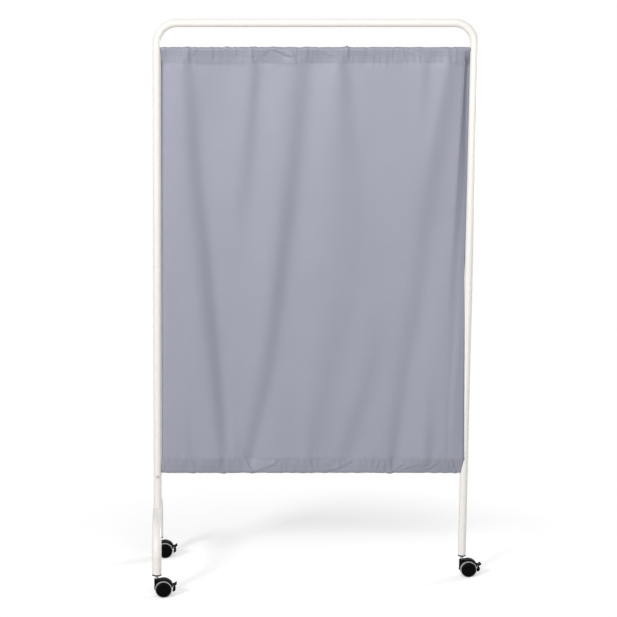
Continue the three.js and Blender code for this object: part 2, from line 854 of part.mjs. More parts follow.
function buildScreen() {
  const screen = new THREE.Group();
  screen.position.x = centreShift;
  const screw = meshOf('foot_screw', footScrew(), darkSteel);
  screw.position.set(-uprightX, 0, footScrewHeight);
  screen.add(meshOf('hoop_frame', hoopFrame(), creamPaint));
  screen.add(meshOf('foot_arch', footArch(), creamPaint));
  screen.add(screw);
  screen.add(rodParts('top', topRodHeight));
  screen.add(rodParts('bottom', bottomRodHeight));
  screen.add(meshOf('curtain', curtain(), greyCloth));
  screen.add(castor('front_left', -uprightX, -stemY, footRadius, footWall));
  screen.add(castor('rear_left', -uprightX, stemY, footRadius, footWall));
  screen.add(castor('right', uprightX, 0, hoopRadius, hoopWall));
  return screen;
}

const group = buildScreen();

export default group;
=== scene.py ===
import math

import bmesh
import bpy
import numpy as np
from mathutils import Matrix, Vector, noise


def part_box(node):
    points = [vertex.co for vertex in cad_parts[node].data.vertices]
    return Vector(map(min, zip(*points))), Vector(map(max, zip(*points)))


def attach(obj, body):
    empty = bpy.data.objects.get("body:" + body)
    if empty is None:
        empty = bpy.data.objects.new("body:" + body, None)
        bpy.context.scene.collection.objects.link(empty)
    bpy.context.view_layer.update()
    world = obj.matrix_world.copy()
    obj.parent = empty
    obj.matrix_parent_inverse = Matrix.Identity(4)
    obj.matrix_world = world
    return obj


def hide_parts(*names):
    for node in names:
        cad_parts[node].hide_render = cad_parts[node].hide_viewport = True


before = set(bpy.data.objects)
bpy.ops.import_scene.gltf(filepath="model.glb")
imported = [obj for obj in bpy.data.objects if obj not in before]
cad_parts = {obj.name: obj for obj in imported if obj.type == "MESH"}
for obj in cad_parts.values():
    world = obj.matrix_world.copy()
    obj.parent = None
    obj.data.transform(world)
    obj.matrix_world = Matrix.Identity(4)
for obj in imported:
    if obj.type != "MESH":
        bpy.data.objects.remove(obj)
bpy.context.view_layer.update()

# The tubes
middle_x = -0.02275
upright_reach = 0.469
hoop_radius = 0.012
hoop_wall = 0.0015
hoop_bend = 0.060
hoop_top = 1.688
leg_end = 0.069
foot_radius = 0.014
foot_wall = 0.002
foot_bend = 0.090
foot_top = 0.205
foot_reach = 0.200
spigot_radius = 0.0102
spigot_wall = 0.0025
spigot_top = 0.328
tube_sides = 48
bend_steps = 14
straight_step = 0.040

# The screws
foot_screw_height = 0.3182
foot_screw_radius = 0.0025
foot_screw_head = 0.0044
foot_screw_rise = 0.0024
foot_screw_length = 0.009
rod_screw_radius = 0.0025
rod_screw_head = 0.0046
rod_screw_depth = 0.0021
rod_screw_grip = 0.016
# the heads' upper edge, their faces' edge and their sockets as shares of their
# radius, and how deep the cone in a socket's bottom goes as a share of the socket
head_top_share = 0.75
head_face_share = 0.6
recess_share = 0.5
recess_depth = 0.0016
recess_cone_share = 1.2
screw_sides = 48

# The cloth
cloth_thickness = 0.0006
cloth_half = 0.4558
cloth_top = 1.618
cloth_bottom = 0.327
top_casing = 0.049
bottom_casing = 0.045
top_pocket_depth = 0.0276
bottom_pocket_depth = 0.0285
top_seam = cloth_top - top_casing
top_pocket = cloth_top - top_pocket_depth
low_seam = cloth_bottom + bottom_casing
low_pocket = cloth_bottom + bottom_pocket_depth
seam_heights = (top_seam, top_pocket, low_seam, low_pocket)
wrap_radius = 0.0077
rod_slack = 0.001
flap_gap = 0.0014
fold_in = 0.0006
upright_gap = 0.0009
edge_reach = 0.4705
seam_dip = 0.0015
# the rows' steps behind, on the panel and in front, and the columns' step
row_steps = {-1: 0.006, 0: 0.0106, 1: 0.0028}
column_step = 0.0052
wrap_steps = 12
thread_radius = 0.00022
thread_sides = 6
thread_pitch = 0.0007
stitch_sizes = {"Pitch": 0.0032, "Stitch length": 0.0024, "Thread radius": thread_radius}

# The castors
wheel_radius = 0.025
castor_width = 0.040
rim_gap = 0.012
trail = 0.020
tread_depth = 0.005
tread_width = 0.010
tread_round = 0.0009
hub_inset = 0.0025
hub_dome = 0.0028
# places on the dome as shares: out from the axle, and down from its middle
dome_shares = ((0.82, 0.4), (0.5, 0.1), (0.3, 0.02))
hub_web = 0.003
hub_rim = 0.0026
hub_boss = 0.007
axle_radius = 0.003
axle_end_gap = 0.003
stem_radius = 0.004
stem_collar = 0.0055
stem_collar_height = 0.005
stem_in_plug = 0.026
stem_socket = 0.026
barrel_radius = 0.008
barrel_top = 0.054
barrel_foot = 0.021
hood_radius = 0.0305
hood_width = 0.022
hood_end = math.radians(33)
web_thickness = 0.005
web_boss = 0.011
wheel_clearance = 0.0006
plug_flange = 0.0037
plug_length = 0.032
plug_rib = 0.0005
plug_nose = 0.003
pivot_reach = 0.0284
pivot_rise = 0.0094
pivot_angle = math.atan2(pivot_rise, pivot_reach)
lever_boss = 0.004
lever_width = 0.022
lever_pin = 0.0015
tip_reach = 0.0395
tip_rise = 0.016
pedal_tip = 0.0016
pedal_root = 0.0024
claw_reach = 0.0278
claw_rise = 0.0006
claw_radius = 0.008
claw_bar = 0.0044
claw_clearance = 0.0026
lug_radius = 0.0036
fit_gap = 0.0003
wheel_sides = 72
pedal_sides = 16
edge_round = 0.0005
lever_round_share = 0.8
merge_distance = 1e-7
least_angle = 1e-3
quarter = math.pi / 2

# From which angle in degrees an edge stays sharp or is eased
sharp_angle = 35
wheel_sharp_angle = 40
screw_sharp_angle = 30
eased_angle = 30

# How deep the materials' fine grains are
peel_depth = 0.0001
weave_depth = 0.00012
plastic_grain_depth = 0.00008
tread_grain_depth = 0.0001
ring_depth = 0.00004

# Each castor's name, the place of its stem, and its leg's radius and wall
castors = [
    ("front_left", -upright_reach, -foot_reach, foot_radius, foot_wall),
    ("rear_left", -upright_reach, foot_reach, foot_radius, foot_wall),
    ("right", upright_reach, 0, hoop_radius, hoop_wall),
]


# Shader nodes


class Wire:
    """A socket of a material's nodes, to be used in sums."""

    def __init__(self, tree, socket=None):
        self.tree = tree
        self.socket = socket

    def node(self, kind, sockets=None, output=0, **settings):
        """Adds a node: first its settings, then the values or links of its sockets."""
        made = self.tree.nodes.new(kind)
        for name, value in settings.items():
            setattr(made, name, value)
        for name, value in (sockets or {}).items():
            if isinstance(value, Wire):
                self.tree.links.new(value.socket, made.inputs[name])
            else:
                made.inputs[name].default_value = value
        return Wire(self.tree, made.outputs[output])

    def beside(self, output):
        """Another output of the same node."""
        return Wire(self.tree, self.socket.node.outputs[output])

    def maths(self, operation, first, second=0.0):
        return self.node("ShaderNodeMath", {0: first, 1: second}, operation=operation)

    def mixed(self, low, high):
        """A colour between two others, with this number as its share."""
        return self.node("ShaderNodeMix", {0: self, 6: low, 7: high}, 2, data_type="RGBA")

    def __add__(self, other):
        return self.maths("ADD", self, other)

    def __sub__(self, other):
        return self.maths("SUBTRACT", self, other)

    def __mul__(self, other):
        return self.maths("MULTIPLY", self, other)

    __radd__ = __add__


def grey(level):
    return (level, level, level, 1.0)


def tinted(colour, share):
    return tuple(part * share for part in colour) + (1.0,)


def new_material(name):
    """A material with only its Principled shader, and a wire into its nodes."""
    material = bpy.data.materials.new(name)
    material.use_nodes = True
    shader = material.node_tree.nodes["Principled BSDF"]
    return material, shader, Wire(material.node_tree)


def link(wire, shader, socket):
    wire.tree.links.new(wire.socket, shader.inputs[socket])


def stretched(wire, point, scales):
    """The point, with each of its axes scaled, for a pattern with a grain."""
    return wire.node("ShaderNodeMapping", {"Vector": point, "Scale": scales})


def speckle(wire, point, scale, detail=2.0):
    sockets = {"Vector": point, "Scale": scale, "Detail": detail}
    return wire.node("ShaderNodeTexNoise", sockets)


def object_point(wire):
    return wire.node("ShaderNodeTexCoord", output=3)


def shade(shader, share, colour, tints, rough, spread):
    """Lets one number lead the colour between two tints, and the roughness up."""
    low, high = (tinted(colour, tint) for tint in tints)
    link(share.mixed(low, high), shader, "Base Color")
    link(rough + share * spread, shader, "Roughness")


def bump(shader, height, distance, strength):
    sockets = {"Height": height, "Distance": distance, "Strength": strength}
    link(height.node("ShaderNodeBump", sockets), shader, "Normal")


def cream_powder_coat():
    """Semi-gloss powder coat: a fine orange peel and a faint cloudiness."""
    material, shader, wire = new_material("cream_powder_coat")
    cream = (0.87, 0.845, 0.795)
    point = object_point(wire)
    cloud = speckle(wire, point, 9.0, 3.0)
    peel = speckle(wire, point, 620.0, 1.0)
    shade(shader, cloud, cream, (0.97, 1.02), 0.3, 0.08)
    bump(shader, peel, peel_depth, 0.12)
    shader.inputs["Coat Weight"].default_value = 0.15
    return material


def grey_cloth():
    """Plain-woven cloth, its threads laid along the piece's own UV map. Where the cloth lies
    doubled in the casings it gets a darker copy of its colour, which is painted shade.
    """
    material, shader, wire = new_material("grey_cloth")
    blue_grey = (0.307, 0.315, 0.381)
    place = wire.node("ShaderNodeTexCoord", output=2)
    threads = 2 * math.pi / thread_pitch
    parts = wire.node("ShaderNodeSeparateXYZ", {"Vector": place})
    warp, weft = (wire.maths("SINE", way * threads) for way in (parts, parts.beside(1)))
    weave = warp * weft * 0.5 + 0.5
    slub = speckle(wire, stretched(wire, place, (2200.0, 60.0, 1.0)), 1.0)
    thick = speckle(wire, stretched(wire, place, (60.0, 2200.0, 1.0)), 1.0)
    cloud = speckle(wire, place, 7.0, 3.0)
    tone = weave * 0.25 + slub * 0.25 + thick * 0.2 + cloud * 0.3
    single = tone.mixed(tinted(blue_grey, 0.86), tinted(blue_grey, 1.14))
    # painted shade: where the cloth lies doubled in the casings, a darker copy of its colour
    doubled_painted_shade = tone.mixed(tinted(blue_grey, 0.8), tinted(blue_grey, 1.04))
    doubled = wire.node("ShaderNodeAttribute", output=2, attribute_name="doubled")
    link(doubled.mixed(single, doubled_painted_shade), shader, "Base Color")
    link(0.44 + tone * 0.1, shader, "Roughness")
    height = weave + slub * 0.8 + thick * 0.8
    bump(shader, height, weave_depth, 0.35)
    shader.inputs["Specular IOR Level"].default_value = 0.6
    return material


def seam_thread():
    """Spun sewing thread, a little lighter than the cloth."""
    material, shader, wire = new_material("seam_thread")
    thread = (0.40, 0.42, 0.49)
    twist = speckle(wire, stretched(wire, object_point(wire), (3000.0, 400.0, 400.0)), 1.0)
    shade(shader, twist, thread, (0.8, 1.1), 0.6, 0.2)
    return material


def black_plastic():
    """Moulded nylon with a fine spark-eroded grain."""
    material, shader, wire = new_material("black_plastic")
    black = (0.0015, 0.0015, 0.0016)
    point = object_point(wire)
    grain = speckle(wire, point, 1900.0)
    rubbed = speckle(wire, point, 60.0, 4.0)
    shade(shader, rubbed, black, (0.8, 1.5), 0.4, 0.16)
    bump(shader, grain, plastic_grain_depth, 0.25)
    shader.inputs["Specular IOR Level"].default_value = 0.05
    return material


def grey_tread():
    """Soft grey tread, dulled by the floor."""
    material, shader, wire = new_material("grey_tread")
    rubber = (0.33, 0.33, 0.335)
    point = object_point(wire)
    dust = speckle(wire, point, 140.0, 4.0)
    grain = speckle(wire, point, 1400.0)
    shade(shader, dust, rubber, (0.85, 1.1), 0.62, 0.2)
    bump(shader, grain, tread_grain_depth, 0.3)
    return material


def turned_steel(name, colour, roughness):
    """Plated steel, with the fine rings that turning leaves."""
    material, shader, wire = new_material(name)
    point = object_point(wire)
    rings = speckle(wire, stretched(wire, point, (90.0, 90.0, 2600.0)), 1.0)
    stain = speckle(wire, point, 120.0, 3.0)
    shade(shader, stain, colour, (0.88, 1.05), roughness, 0.1)
    bump(shader, rings, ring_depth, 0.2)
    shader.inputs["Metallic"].default_value = 1.0
    return material


# Meshes


def mesh_of(name, points, faces):
    mesh = bpy.data.meshes.new(name)
    mesh.from_pydata([tuple(point) for point in points], [], faces)
    mesh.update()
    return mesh


def outward(mesh):
    """Merges doubled points and turns every face of a closed mesh outwards."""
    work = bmesh.new()
    work.from_mesh(mesh)
    bmesh.ops.remove_doubles(work, verts=work.verts, dist=merge_distance)
    bmesh.ops.recalc_face_normals(work, faces=work.faces)
    work.to_mesh(mesh)
    work.free()
    return mesh


def smoothed(mesh, from_angle=sharp_angle):
    mesh.shade_smooth()
    mesh.set_sharp_from_angle(angle=math.radians(from_angle))
    return mesh


def quads(pairs, count):
    """The faces between pairs of rings, each given as the number of its first point."""
    faces = []
    for at in range(count):
        on = (at + 1) % count
        faces += [(here + at, here + on, there + on, there + at) for here, there in pairs]
    return faces


def rounded(profile, radius, steps=4):
    """An open profile, with a curve in place of each corner between its ends."""
    points = [Vector(point) for point in profile]
    made = [points[0]]
    for before, corner, after in zip(points, points[1:], points[2:]):
        back, on = before - corner, after - corner
        turn = back.angle(on)
        room = min(back.length, on.length) / 2
        cut = min(radius / math.tan(turn / 2), room) if turn > least_angle else 0
        start, end = corner + back.normalized() * cut, corner + on.normalized() * cut
        for step in range(steps + 1):
            share = step / steps
            low = start.lerp(corner, share)
            made.append(low.lerp(corner.lerp(end, share), share))
    made.append(points[-1])
    return made


def turned(name, profile, sides, shapes=None):
    """A profile of (radius, height) pairs turned about Z. A ring named in shapes
    has that function of the angle as a factor on its radius."""
    points = []
    for ring, (radius, height) in enumerate(profile):
        shape = (shapes or {}).get(ring)
        for side in range(sides):
            angle = 2 * math.pi * side / sides
            reach = radius * (shape(angle) if shape else 1)
            points.append((reach * math.cos(angle), reach * math.sin(angle), height))
    faces = []
    closed = profile[0][0] > 0
    rings = len(profile)
    for ring in range(rings if closed else rings - 1):
        faces += quads([(ring * sides, (ring + 1) % rings * sides)], sides)
    return outward(mesh_of(name, points, faces))


def placed(mesh, *moves):
    for move in moves:
        mesh.transform(move)
    return mesh


def shift(x, y, z):
    return Matrix.Translation((x, y, z))


def spin(angle, axis):
    return Matrix.Rotation(angle, 4, axis)


def on_circle(x, z, radius, angle):
    return x + radius * math.cos(angle), z + radius * math.sin(angle)


def arc(x, z, radius, start, end, count):
    return [on_circle(x, z, radius, angle) for angle in np.linspace(start, end, count)]


def bent_path(corners, bend):
    """Points along a path of straights, with an arc of one radius at each corner."""
    points = [Vector(corners[0])]
    for before, corner, after in zip(corners, corners[1:], corners[2:]):
        corner = Vector(corner)
        back = (Vector(before) - corner).normalized()
        on = (Vector(after) - corner).normalized()
        centre = corner + (back + on) * bend
        for step in range(bend_steps + 1):
            angle = quarter * step / bend_steps
            points.append(centre - on * bend * math.cos(angle) - back * bend * math.sin(angle))
    points.append(Vector(corners[-1]))
    filled = [points[0]]
    for start, end in zip(points, points[1:]):
        steps = max(1, round((end - start).length / straight_step))
        filled += [start.lerp(end, step / steps) for step in range(1, steps + 1)]
    return filled


def swept_tube(name, path, side, radius, wall):
    """A tube with its wall, round a path that lies in the plane across side."""
    points = []
    for at, point in enumerate(path):
        along = path[min(at + 1, len(path) - 1)] - path[max(at - 1, 0)]
        up = side.cross(along.normalized())
        for reach in (radius, radius - wall):
            for step in range(tube_sides):
                angle = 2 * math.pi * step / tube_sides
                points.append(point + (side * math.cos(angle) + up * math.sin(angle)) * reach)
    ring = 2 * tube_sides
    last = (len(path) - 1) * ring
    shells = [at + shell for at in range(0, last, ring) for shell in (0, tube_sides)]
    pairs = [(shell, shell + ring) for shell in shells]
    pairs += [(end, end + tube_sides) for end in (0, last)]
    return outward(mesh_of(name, points, quads(pairs, tube_sides)))


def in_scene(name, data):
    made = bpy.data.objects.new(name, data)
    bpy.context.scene.collection.objects.link(made)
    return made


def as_shown(holder):
    """A helper object's mesh after its modifiers. The helper is removed."""
    state = bpy.context.evaluated_depsgraph_get()
    made = bpy.data.meshes.new_from_object(holder.evaluated_get(state))
    bpy.data.objects.remove(holder)
    return made


def slab(name, outline, thickness):
    """A side outline of (x, z) points, given a thickness along Y."""
    count = len(outline)
    points = [(x, -thickness / 2, z) for x, z in outline]
    points += [(x, thickness / 2, z) for x, z in outline]
    faces = [tuple(range(count)), tuple(range(count, 2 * count)), *quads([(0, count)], count)]
    return outward(mesh_of(name, points, faces))


def disc(radius, thickness, x, z):
    outline = arc(x, z, radius, 0, 2 * math.pi, wheel_sides + 1)[:-1]
    return slab("disc", outline, thickness)


def block(left, right, bottom, top, thickness):
    return slab("block", [(left, bottom), (right, bottom), (right, top), (left, top)], thickness)


def post(radius, bottom, top):
    profile = [(0, bottom), (radius, bottom), (radius, top), (0, top)]
    return turned("post", profile, wheel_sides)


def worked(base, steps, edge=0):
    """A mesh after its joins and cuts, with its edges eased by a small round."""
    holder = in_scene("work", base)
    tools = []
    for operation, mesh in steps:
        modifier = holder.modifiers.new("step", "BOOLEAN")
        modifier.operation = operation
        modifier.solver = "EXACT"
        modifier.object = in_scene("tool", mesh)
        tools.append(modifier.object)
    if edge:
        bevel = holder.modifiers.new("edge", "BEVEL")
        bevel.width = edge
        bevel.segments = 2
        bevel.limit_method = "ANGLE"
        bevel.angle_limit = math.radians(eased_angle)
        bevel.miter_outer = "MITER_ARC"
    made = as_shown(holder)
    for tool in tools:
        bpy.data.objects.remove(tool)
    return made


def piece(name, mesh, look, stands_for=(), body="screen_frame"):
    """Puts a finished piece in the scene, on its CAD body. Its look is a material and a slot's
    name, which is not used."""
    material, slot = look
    made = in_scene(name, mesh)
    mesh.materials.clear()
    mesh.materials.append(material)
    if stands_for:
        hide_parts(*stands_for)
    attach(made, body)
    return made


# The tubes and their screws


def hoop(paint):
    left, right = middle_x - upright_reach, middle_x + upright_reach
    corners = [(left, 0, foot_top), (left, 0, hoop_top), (right, 0, hoop_top)]
    path = bent_path([*corners, (right, 0, leg_end)], hoop_bend)
    mesh = swept_tube("hoop", path, Vector((0, 1, 0)), hoop_radius, hoop_wall)
    saddle = placed(disc(foot_radius + fit_gap, 4 * hoop_radius, 0, 0), shift(left, 0, foot_top))
    mesh = worked(mesh, [("DIFFERENCE", saddle)])
    piece("hoop_tube", smoothed(mesh), paint, ["hoop_frame"])


def foot(paint):
    left = middle_x - upright_reach
    corners = [(left, -foot_reach, leg_end), (left, -foot_reach, foot_top)]
    corners += [(left, foot_reach, foot_top), (left, foot_reach, leg_end)]
    path = bent_path(corners, foot_bend)
    arch = swept_tube("foot", path, Vector((1, 0, 0)), foot_radius, foot_wall)
    bore = spigot_radius - spigot_wall
    profile = [(bore, foot_top), (spigot_radius, foot_top)]
    profile += [(spigot_radius, spigot_top), (bore, spigot_top)]
    tube = placed(turned("spigot", profile, tube_sides), shift(left, 0, 0))
    inside = disc(foot_radius - foot_wall / 2, 4 * foot_radius, 0, 0)
    tube = worked(tube, [("DIFFERENCE", placed(inside, shift(left, 0, foot_top)))])
    mesh = worked(arch, [("UNION", tube)])
    piece("foot_tube", smoothed(mesh), paint, ["foot_arch"])


def rod_height(level):
    low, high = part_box(f"curtain_rod_{level}")
    return (low.z + high.z) / 2


def hexagon(angle):
    """A hexagon's reach at an angle, as a share of its across-corners radius."""
    off = math.fmod(angle, math.pi / 3) - math.pi / 6
    return math.cos(math.pi / 6) / math.cos(off)


def screw(name, shank, recess_radius):
    """A screw about Z, head up, from its outside profile, with a hexagon socket."""
    top = shank[-1][1]
    outside = rounded(shank, edge_round / 2, 3)
    socket = [(recess_radius, top), (recess_radius, top - recess_depth)]
    rings = len(outside)
    shapes = {rings: hexagon, rings + 1: hexagon}
    profile = [*outside, *socket, (0, top - recess_depth * recess_cone_share)]
    return smoothed(turned(name, profile, screw_sides, shapes), screw_sharp_angle)


def screws(bright):
    seat = hoop_radius + fit_gap
    shank = [
        (0, seat - foot_screw_length),
        (foot_screw_radius, seat - foot_screw_length),
        (foot_screw_radius, seat),
        (foot_screw_head, seat),
        (foot_screw_head, seat + foot_screw_rise / 2),
        (foot_screw_head * head_top_share, seat + foot_screw_rise),
        (foot_screw_head * head_face_share, seat + foot_screw_rise),
    ]
    mesh = screw("foot_screw", shank, foot_screw_head * recess_share)
    placed(mesh, spin(quarter, "X"), shift(middle_x - upright_reach, 0, foot_screw_height))
    piece("foot_screw_head", mesh, bright, ["foot_screw"])
    face = upright_reach + hoop_radius
    tip = upright_reach - hoop_radius - rod_screw_grip
    shank = [
        (0, tip),
        (rod_screw_radius, tip),
        (rod_screw_radius, face - rod_screw_depth),
        (rod_screw_head, face),
        (rod_screw_head * head_face_share, face),
    ]
    for level in ("top", "bottom"):
        for side, turn in (("left", -quarter), ("right", quarter)):
            mesh = screw("rod_screw", shank, rod_screw_head * recess_share)
            placed(mesh, spin(turn, "Y"), shift(middle_x, 0, rod_height(level)))
            piece(f"screw_{level}_{side}", mesh, bright, [f"rod_screw_{level}_{side}"])


# The castors, each made about its stem's axis at floor level


def turned_on_axle(name, profile, edge, face):
    """A wheel's part turned about its axle, on the front or the back of the castor."""
    turn = quarter if face == "front" else -quarter
    mesh = turned(name, rounded(profile, edge), wheel_sides)
    placed(mesh, spin(turn, "X"), shift(trail, 0, wheel_radius))
    return smoothed(mesh, wheel_sharp_angle)


def wheel_hub(face):
    outer, seat = wheel_radius - hub_inset, wheel_radius - tread_depth
    flank = castor_width / 2
    seat_end = rim_gap / 2 + tread_width + fit_gap
    bore = axle_radius + fit_gap
    rim = seat - hub_rim
    boss_end = web_thickness / 2 + fit_gap
    profile = [
        (0, flank - axle_end_gap),
        (bore, flank - axle_end_gap),
        (bore, boss_end),
        (hub_boss, boss_end),
        (hub_boss, seat_end - hub_web),
        (rim, seat_end - hub_web),
        (rim, rim_gap / 2),
        (seat, rim_gap / 2),
        (seat, seat_end),
        (outer, seat_end),
        (outer, flank - hub_dome),
        *((outer * out, flank - hub_dome * drop) for out, drop in dome_shares),
        (0, flank),
    ]
    return turned_on_axle("hub", profile, edge_round, face)


def wheel_tread(face):
    seat = wheel_radius - tread_depth + fit_gap
    inner = rim_gap / 2
    outer = inner + tread_width
    middle = (seat + wheel_radius) / 2
    profile = [(middle, inner), (wheel_radius, inner), (wheel_radius, outer), (seat, outer)]
    profile += [(seat, inner), (middle - edge_round, inner)]
    return turned_on_axle("tread", profile, tread_round, face)


def castor_stem():
    bottom = barrel_top - stem_socket + fit_gap
    top = leg_end - fit_gap - plug_flange + stem_in_plug
    collar_top = leg_end - 2 * fit_gap - plug_flange
    collar_bottom = collar_top - stem_collar_height
    profile = [(0, bottom), (stem_radius, bottom), (stem_radius, collar_bottom)]
    profile += [(stem_collar, collar_bottom), (stem_collar, collar_top)]
    profile += [(stem_radius, collar_top), (stem_radius, top), (0, top)]
    return smoothed(turned("stem", rounded(profile, edge_round), tube_sides))


def leg_plug(tube_radius, tube_wall):
    seat = leg_end - fit_gap
    bottom = seat - plug_flange
    rib = tube_radius - tube_wall - fit_gap
    body = rib - plug_rib
    bore = stem_radius + fit_gap
    profile = [
        (bore, bottom + plug_flange),
        (bore, bottom),
        (tube_radius, bottom),
        (tube_radius, seat),
        (rib, seat),
        (body, seat + plug_length / 2),
        (rib, seat + plug_length / 2),
        (rib, seat + plug_length - plug_nose),
        (body - plug_nose / 2, seat + plug_length),
        (bore, seat + plug_length),
        (bore, seat + edge_round),
    ]
    return smoothed(turned("plug", rounded(profile, edge_round), tube_sides))


def hood_outline():
    rise = barrel_top - wheel_radius
    start = math.pi - math.acos(math.sqrt(1 - (rise / hood_radius) ** 2))
    return [
        (-barrel_radius, barrel_foot),
        (trail, barrel_foot),
        (trail, wheel_radius),
        on_circle(trail, wheel_radius, web_boss, hood_end),
        *arc(trail, wheel_radius, hood_radius, hood_end, start, wheel_sides // 2),
        (-barrel_radius, barrel_top),
    ]


def hood_plan():
    """The hood from above: round at the barrel, widening to its full width."""
    half = hood_width / 2
    reach = trail + hood_radius + edge_round * 4
    side = []
    for share in np.linspace(0, 1, wheel_sides // 4):
        x = 2 * share * (1 - share) * trail / 2 + share * share * trail
        y = (1 - share) ** 2 * barrel_radius + (1 - (1 - share) ** 2) * half
        side.append((x, y))
    side.append((reach, half))
    round_end = arc(0, 0, barrel_radius, quarter, 3 * quarter, wheel_sides // 3)
    outline = [(x, -y) for x, y in side] + side[::-1] + round_end[1:-1]
    return placed(slab("plan", outline, 2 * (barrel_top + hood_radius)), spin(-quarter, "X"))


def castor_housing():
    gap = rim_gap - 2 * wheel_clearance
    space = disc(wheel_radius + wheel_clearance, castor_width, trail, wheel_radius)
    between = block(-trail, trail, 0, 2 * barrel_top, gap)
    barrel = worked(post(barrel_radius, barrel_foot, barrel_top), [("INTERSECT", between)])
    web = block(-2 * trail, 4 * trail, 0, 2 * barrel_top, web_thickness)
    space = worked(space, [("DIFFERENCE", barrel), ("DIFFERENCE", web)])
    arm = block(0, math.hypot(pivot_reach, pivot_rise), -lug_radius, lug_radius, web_thickness)
    placed(arm, spin(-pivot_angle, "Y"), shift(trail, 0, wheel_radius))
    pivot_x, pivot_z = trail + pivot_reach, wheel_radius + pivot_rise
    steps = [
        ("INTERSECT", hood_plan()),
        ("DIFFERENCE", space),
        ("UNION", disc(web_boss, web_thickness, trail, wheel_radius)),
        ("UNION", disc(lug_radius, web_thickness, pivot_x, pivot_z)),
        ("UNION", arm),
        ("DIFFERENCE", post(stem_radius + fit_gap, barrel_top - stem_socket, 2 * barrel_top)),
        ("DIFFERENCE", disc(axle_radius + fit_gap, hood_width, trail, wheel_radius)),
        ("DIFFERENCE", disc(lever_pin + fit_gap, hood_width, pivot_x, pivot_z)),
    ]
    return smoothed(worked(slab("hood", hood_outline(), hood_width), steps, edge_round))


def pedal_outline():
    run, rise = tip_reach - pedal_tip - pivot_reach, tip_rise - pivot_rise
    lean = math.atan2(rise, run)
    root = arc(pivot_reach, pivot_rise, pedal_root, lean + quarter, lean + 3 * quarter, pedal_sides)
    tip_x = tip_reach - pedal_tip
    return root + arc(tip_x, tip_rise, pedal_tip, lean - quarter, lean + quarter, pedal_sides)


def brake_lever():
    claw = disc(claw_radius, lever_width, claw_reach, claw_rise)
    hollow = disc(claw_radius - claw_bar, castor_width, claw_reach, claw_rise)
    claw = worked(claw, [("DIFFERENCE", hollow)])
    slot_radius, slot_width = lever_boss + fit_gap, web_thickness + 2 * fit_gap
    mouth = block(-pivot_reach, 0, -slot_radius, slot_radius, slot_width)
    placed(mouth, spin(-pivot_angle, "Y"), shift(pivot_reach, 0, pivot_rise))
    steps = [
        ("DIFFERENCE", disc(wheel_radius + claw_clearance, castor_width, 0, 0)),
        ("UNION", disc(lever_boss, lever_width, pivot_reach, pivot_rise)),
        ("UNION", slab("pedal", pedal_outline(), lever_width)),
        ("DIFFERENCE", disc(slot_radius, slot_width, pivot_reach, pivot_rise)),
        ("DIFFERENCE", mouth),
        ("DIFFERENCE", disc(lever_pin + fit_gap, castor_width, pivot_reach, pivot_rise)),
    ]
    mesh = smoothed(worked(claw, steps, edge_round * lever_round_share))
    return placed(mesh, shift(trail, 0, wheel_radius))


def place_castors(plastic, tread, bright):
    housing, lever, stem = castor_housing(), brake_lever(), castor_stem()
    for name, x, y, tube_radius, tube_wall in castors:
        parts = [
            ("plug", leg_plug(tube_radius, tube_wall), plastic, "leg_plug", "screen_frame"),
            ("stem", stem.copy(), bright, "castor_stem", "screen_frame"),
            ("housing", housing.copy(), plastic, "castor_housing", f"castor_{name}"),
            ("lever", lever.copy(), plastic, "brake_lever", f"lever_{name}"),
        ]
        move = shift(middle_x + x, y, 0)
        for kind, mesh, look, node, body in parts:
            piece(f"{kind}_{name}", placed(mesh, move), look, [f"{node}_{name}"], body)
        for face in ("front", "back"):
            wheel = f"{name}_{face}"
            for kind, make, look in (("hub", wheel_hub, plastic), ("tread", wheel_tread, tread)):
                mesh = placed(make(face), move)
                piece(f"{kind}_{wheel}", mesh, look, [f"wheel_{kind}_{wheel}"], f"wheel_{wheel}")


# The cloth: one strip, from the flap behind the top casing to the one behind the bottom

# Each fold runs down the panel as a band that turns away to the right. At equal
# steps from the top seam down: its places across as shares of the panel's width,
# its slopes from front to back, and its widths to the left and to the right.
folds = [
    ((0.087, 0.112, 0.149, 0.179, 0.215), (0.258, 0.237, 0.211, 0.158, 0.107),
     (0.024, 0.041, 0.012), (0.036, 0.025, 0.022)),
    ((0.166, 0.149, 0.152, 0.175, 0.198), (0.12, 0.012, 0.029, 0.08, 0.146),
     (0.031, 0.09, 0.016), (0.06, 0.06, 0.011)),
    ((0.31, 0.284, 0.252, 0.24, 0.24), (0.187, 0.125, 0.008, 0, 0),
     (0.018, 0.038, 0.056), (0.02, 0.038, 0.06)),
    ((0.316, 0.295, 0.269, 0.247, 0.252), (0.068, 0, 0, 0.014, 0.103),
     (0.09, 0.058, 0.006), (0.06, 0.048, 0.008)),
    ((0.466, 0.434, 0.396, 0.358, 0.288), (0.209, 0.188, 0.161, 0.126, 0.134),
     (0.058, 0.03, 0.036), (0.036, 0.033, 0.018)),
    ((0.451, 0.446, 0.438, 0.42, 0.413), (0, 0, 0.014, 0.031, 0.047),
     (0.09, 0.09, 0.063), (0.02, 0.035, 0.06)),
    ((0.595, 0.618, 0.625, 0.557, 0.49), (0.185, 0.095, 0.071, 0.085, 0.08),
     (0.024, 0.089, 0.011), (0.022, 0.06, 0.048)),
    ((0.665, 0.686, 0.719, 0.697, 0.611), (0.014, 0.024, 0.016, 0.059, 0.07),
     (0.06, 0.052, 0.027), (0.02, 0.052, 0.021)),
    ((0.86, 0.851, 0.856, 0.811, 0.771), (0.118, 0.021, 0.084, 0.076, 0.108),
     (0.013, 0.041, 0.024), (0.024, 0.033, 0.015)),
    ((0.945, 0.897, 0.874, 0.894, 0.893), (0.144, 0.132, 0, 0, 0.133),
     (0.018, 0.031, 0.012), (0.043, 0.039, 0.016)),
    ((0.09, 0.09, 0.09, 0.09, 0.09), (0, 0, 0, 0, 0.07),
     (0.01, 0.01, 0.01), (0.012, 0.012, 0.012)),
]
